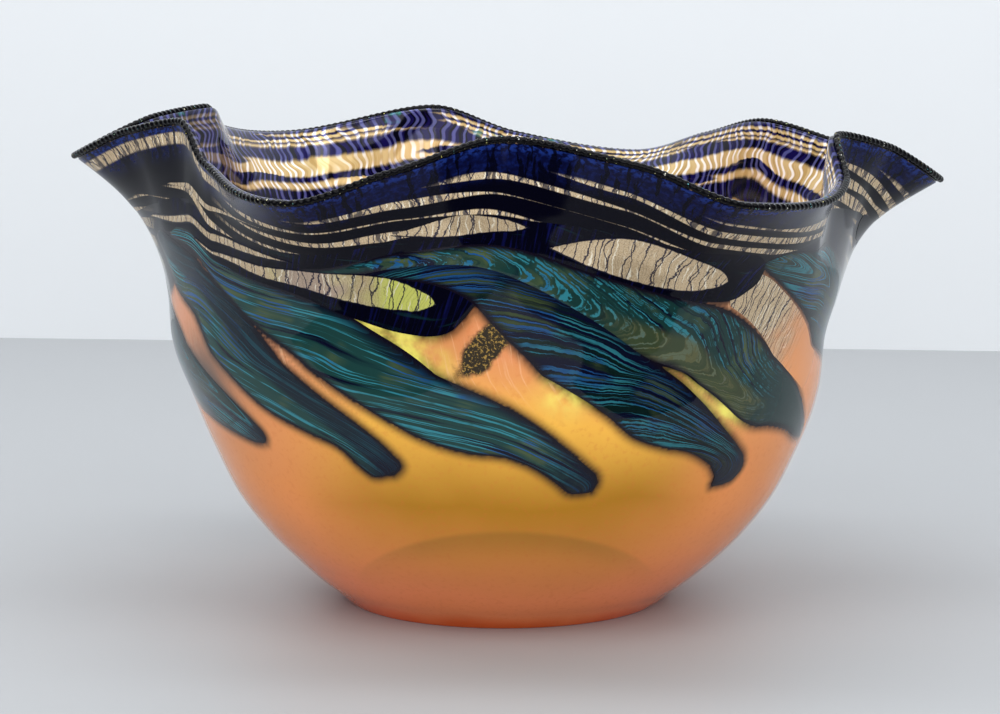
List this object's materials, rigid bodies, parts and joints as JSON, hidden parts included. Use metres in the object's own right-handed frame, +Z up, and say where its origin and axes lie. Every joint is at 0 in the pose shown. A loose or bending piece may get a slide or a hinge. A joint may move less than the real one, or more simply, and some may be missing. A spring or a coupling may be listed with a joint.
{
  "type": "art glass bowl",
  "caption": "Ruffled hand-blown glass bowl: amber body, cobalt collar, pulled feathers, silver-leaf lenses and a crimped lip cord.",
  "frame": {"origin": "centre of the flat foot, on the surface the bowl stands on", "axes": "+Z up, front of the bowl faces -Y, the widest lobes of the lip point along -X and +X"},
  "size_m": [0.3449, 0.3118, 0.1958],
  "materials": {
    "amber_glass": "glossy, gold lustre",
    "cobalt_glass": "glossy, near black",
    "feather_glass": "glossy, dark teal",
    "silver_leaf": "crackled silver leaf under clear glass",
    "black_cord": "glossy black"
  },
  "bodies": {
    "root": {"body": "amber_glass", "collar": "cobalt_glass", "lip_cord": "black_cord", "feather_01": "feather_glass", "feather_02": "feather_glass", "feather_03": "feather_glass", "feather_04": "feather_glass", "feather_05": "feather_glass", "feather_06": "feather_glass", "feather_07": "feather_glass", "feather_08": "feather_glass", "feather_09": "feather_glass", "feather_10": "feather_glass", "swag_01": "cobalt_glass", "swag_02": "cobalt_glass", "swag_03": "cobalt_glass", "swag_04": "cobalt_glass", "lens_01": "silver_leaf", "lens_02": "silver_leaf", "lens_03": "silver_leaf", "lens_04": "silver_leaf", "lens_05": "silver_leaf", "lens_06": "silver_leaf", "lens_07": "silver_leaf", "lens_08": "silver_leaf", "lens_09": "silver_leaf", "lens_10": "silver_leaf", "streak_01": "silver_leaf"}
  },
  "joints": []
}
